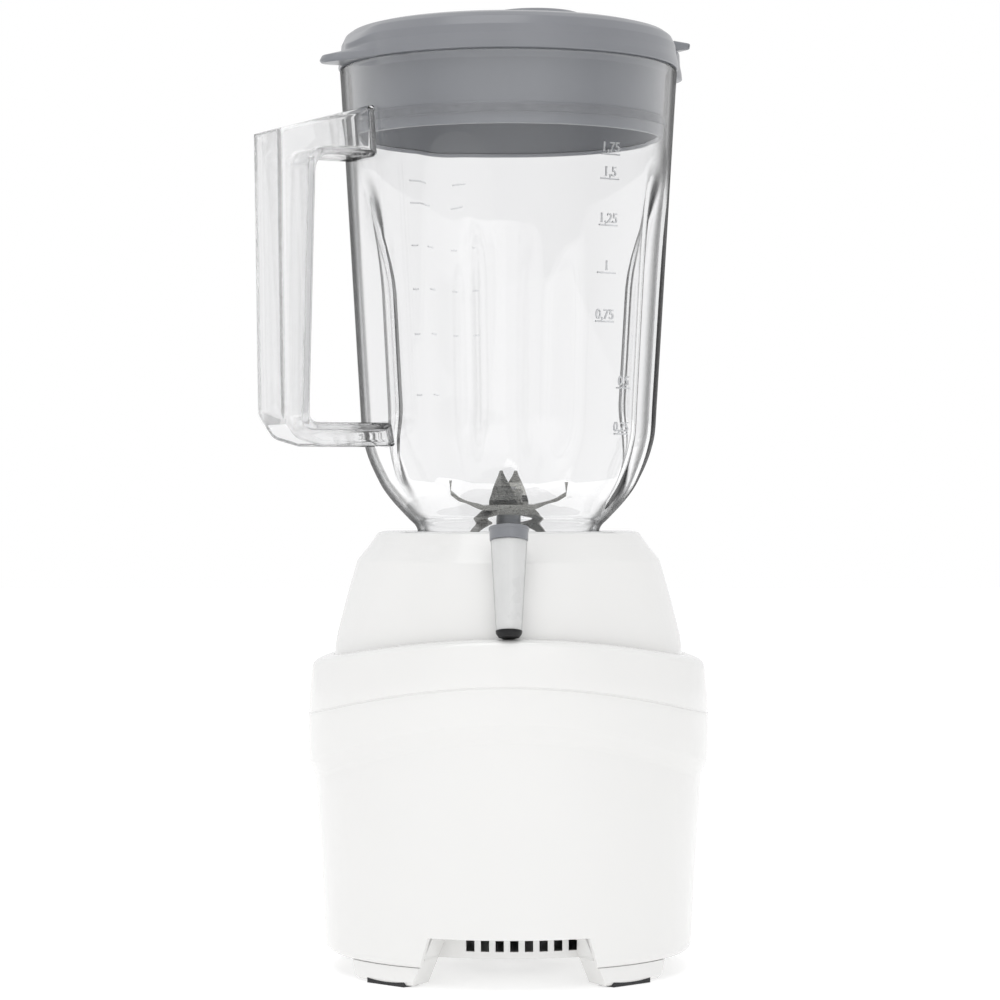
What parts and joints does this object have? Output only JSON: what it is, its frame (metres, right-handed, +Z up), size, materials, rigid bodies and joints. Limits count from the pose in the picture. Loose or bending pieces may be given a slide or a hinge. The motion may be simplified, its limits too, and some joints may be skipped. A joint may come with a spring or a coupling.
{
  "type": "countertop blender",
  "caption": "Countertop blender: a white motor base with a front lever, a clear fluted jug with a hollow handle, a knife unit, and a grey lid with a filler cap.",
  "frame": {"origin": "on the axis of the base and the jug, on the plane that the foot pads stand on", "axes": "+Z up along the drive axis; -Y is the front, where the lever is; +Y is the back, where the power inlet is; the handle points left and a little to the front"},
  "size_m": [0.2022, 0.1799, 0.429],
  "materials": {
    "white_housing": "smooth gloss white with soft moulded edges",
    "grey_plastic": "mid-grey moulded plastic, satin to gloss",
    "clear_plastic": "clear colourless moulded plastic",
    "black_plastic": "fine-grained black plastic",
    "foot_rubber": "dull dark rubber",
    "seal_rubber": "soft grey rubber",
    "blade_steel": "ground and polished stainless steel",
    "shaft_steel": "turned steel",
    "screw_steel": "zinc-plated steel",
    "cast_alloy": "die-cast",
    "motor_iron": "stacked steel sheets",
    "copper_wire": "enamelled copper",
    "brush_brass": "stamped or sintered brass",
    "brush_carbon": "pressed carbon",
    "circuit_board": "coated board"
  },
  "bodies": {
    "base": {"lower_housing": "white_housing", "upper_housing": "white_housing", "bottom_cover": "white_housing", "foot_pads": "foot_rubber", "cover_screws": "screw_steel", "housing_screws": "screw_steel", "power_inlet": "black_plastic", "inlet_pins": "screw_steel", "motor_bottom_bracket": "cast_alloy", "motor_top_bracket": "cast_alloy", "motor_mounts": "foot_rubber", "motor_screws": "screw_steel", "stator_core": "motor_iron", "field_coils": "copper_wire", "top_bearing": "shaft_steel", "bottom_bearing": "shaft_steel", "brush_holders": "brush_brass", "carbon_brushes": "brush_carbon", "brush_springs": "screw_steel", "speed_board": "circuit_board", "rotary_switch": "black_plastic", "lever_bezel": "white_housing"},
    "rotor": {"armature_core": "motor_iron", "armature_windings": "copper_wire", "commutator": "copper_wire", "motor_shaft": "shaft_steel", "cooling_fan": "black_plastic", "drive_socket": "black_plastic"},
    "lever": {"lever_shaft": "shaft_steel", "lever_collar": "grey_plastic", "lever_grip": "clear_plastic", "lever_tip": "black_plastic"},
    "jug": {"jug": "clear_plastic", "knife_housing": "grey_plastic", "knife_gasket": "seal_rubber", "knife_locknut": "black_plastic", "spindle_sleeve": "clear_plastic", "upper_bush": "brush_brass", "lower_bush": "brush_brass"},
    "knife": {"spindle": "shaft_steel", "spindle_tip": "black_plastic", "knife_hub": "grey_plastic", "side_blades": "blade_steel", "upper_blades": "blade_steel", "lower_blades": "blade_steel", "blade_washer": "blade_steel", "knife_nut": "blade_steel"},
    "lid": {"lid": "grey_plastic", "lid_seal": "seal_rubber"},
    "cap": {"filler_cap": "grey_plastic"}
  },
  "joints": [
    {"name": "rotor_spin", "type": "hinge", "parent": "base", "child": "rotor", "pos_m": [0, 0, 0.08], "axis": [0, 0, 1], "continuous": true},
    {"name": "lever_swing", "type": "hinge", "parent": "base", "child": "lever", "pos_m": [0, -0.0749, 0.1946], "axis": [0, 0.9732, -0.23], "range_deg": [-45, 45]},
    {"name": "jug_lift", "type": "slide", "parent": "base", "child": "jug", "axis": [0, 0, 1], "range_m": [0, 0.1]},
    {"name": "knife_spin", "type": "hinge", "parent": "jug", "child": "knife", "pos_m": [0, 0, 0.2], "axis": [0, 0, 1], "continuous": true},
    {"name": "lid_lift", "type": "slide", "parent": "jug", "child": "lid", "axis": [0, 0, 1], "range_m": [0, 0.06]},
    {"name": "cap_lift", "type": "slide", "parent": "lid", "child": "cap", "axis": [0, 0, 1], "range_m": [0, 0.04]}
  ],
  "couplings": [
    {"joint": "knife_spin", "follows": "rotor_spin", "ratio": 1}
  ]
}
